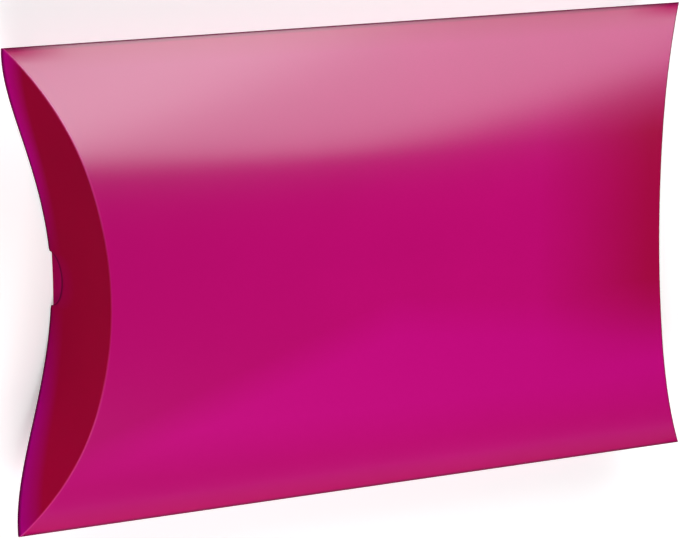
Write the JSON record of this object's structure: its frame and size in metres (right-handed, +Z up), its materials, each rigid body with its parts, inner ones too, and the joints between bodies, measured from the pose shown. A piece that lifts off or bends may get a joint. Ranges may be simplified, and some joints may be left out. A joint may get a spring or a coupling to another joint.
{
  "type": "pillow box",
  "caption": "Pillow-shaped gift box of folded card: two bulged panels meet in sharp long folds, and curved end flaps with thumb notches close the ends.",
  "frame": {"origin": "under the middle of the box, on the surface that its back panel's crown rests on", "axes": "+X along the box's length, +Y across it from the glued fold to the other long fold, +Z up through the thickness, out of the front panel"},
  "size_m": [0.3542, 0.2198, 0.0676],
  "materials": {
    "card": "satin pearl coating on dyed card",
    "glue": "dry white glue film"
  },
  "bodies": {
    "carton": {"front_panel": "card", "back_panel": "card", "glue_flap": "card", "glue_line": "glue"},
    "left_outer": {"left_outer_flap": "card"},
    "left_inner": {"left_inner_flap": "card"},
    "right_outer": {"right_outer_flap": "card"},
    "right_inner": {"right_inner_flap": "card"}
  },
  "joints": [
    {"name": "left_outer_fold", "type": "hinge", "parent": "carton", "child": "left_outer", "pos_m": [-0.14345, 0, 0.0676], "axis": [0, 1, 0], "range_deg": [0, 90]},
    {"name": "left_inner_fold", "type": "hinge", "parent": "carton", "child": "left_inner", "pos_m": [-0.14265, 0, 0], "axis": [0, -1, 0], "range_deg": [0, 45]},
    {"name": "right_outer_fold", "type": "hinge", "parent": "carton", "child": "right_outer", "pos_m": [0.14345, 0, 0.0676], "axis": [0, -1, 0], "range_deg": [0, 90]},
    {"name": "right_inner_fold", "type": "hinge", "parent": "carton", "child": "right_inner", "pos_m": [0.14265, 0, 0], "axis": [0, 1, 0], "range_deg": [0, 45]}
  ],
  "couplings": [
    {"joint": "left_inner_fold", "follows": "left_outer_fold", "ratio": 0.5},
    {"joint": "right_inner_fold", "follows": "right_outer_fold", "ratio": 0.5}
  ]
}
